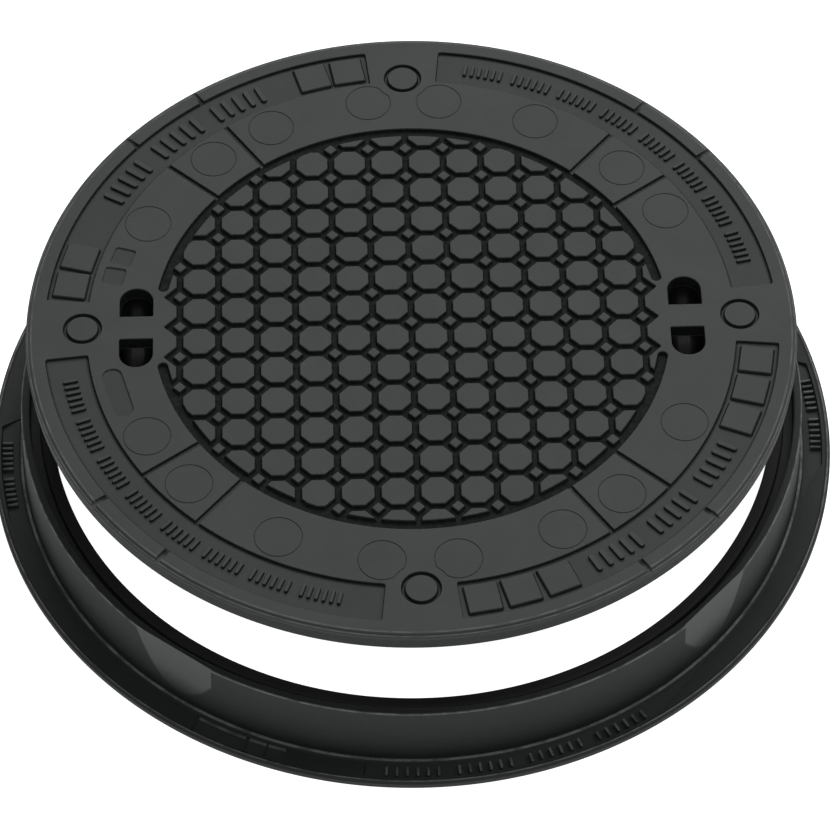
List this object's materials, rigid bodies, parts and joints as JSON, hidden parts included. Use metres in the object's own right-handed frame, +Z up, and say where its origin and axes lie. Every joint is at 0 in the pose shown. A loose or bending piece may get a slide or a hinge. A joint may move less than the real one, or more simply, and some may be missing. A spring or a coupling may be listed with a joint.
{
  "type": "manhole cover",
  "caption": "Round cast-iron manhole cover with an octagon-lug tread and two key holes, lifted above its flanged round frame with a damping ring.",
  "frame": {"origin": "centre of the frame's underside, on the common axis of frame and cover", "axes": "+Z up along the common axis; the two key holes lie on the X axis"},
  "size_m": [0.7066, 0.7066, 0.1578],
  "materials": {
    "frame_iron": "bitumen-black coating over as-cast grain, satin",
    "cover_iron": "bitumen-black coating over as-cast grain, satin, tops slightly worn",
    "elastomer": "matt moulded rubber",
    "pocket_plastic": "moulded black plastic, satin"
  },
  "bodies": {
    "frame": {"frame_casting": "frame_iron", "damping_ring": "elastomer"},
    "cover": {"cover_casting": "cover_iron", "key_pocket_right": "pocket_plastic", "key_pocket_left": "pocket_plastic"}
  },
  "joints": [
    {"name": "cover_lift", "type": "slide", "parent": "frame", "child": "cover", "axis": [0, 0, 1], "range_m": [-0.092, 0.15]}
  ]
}
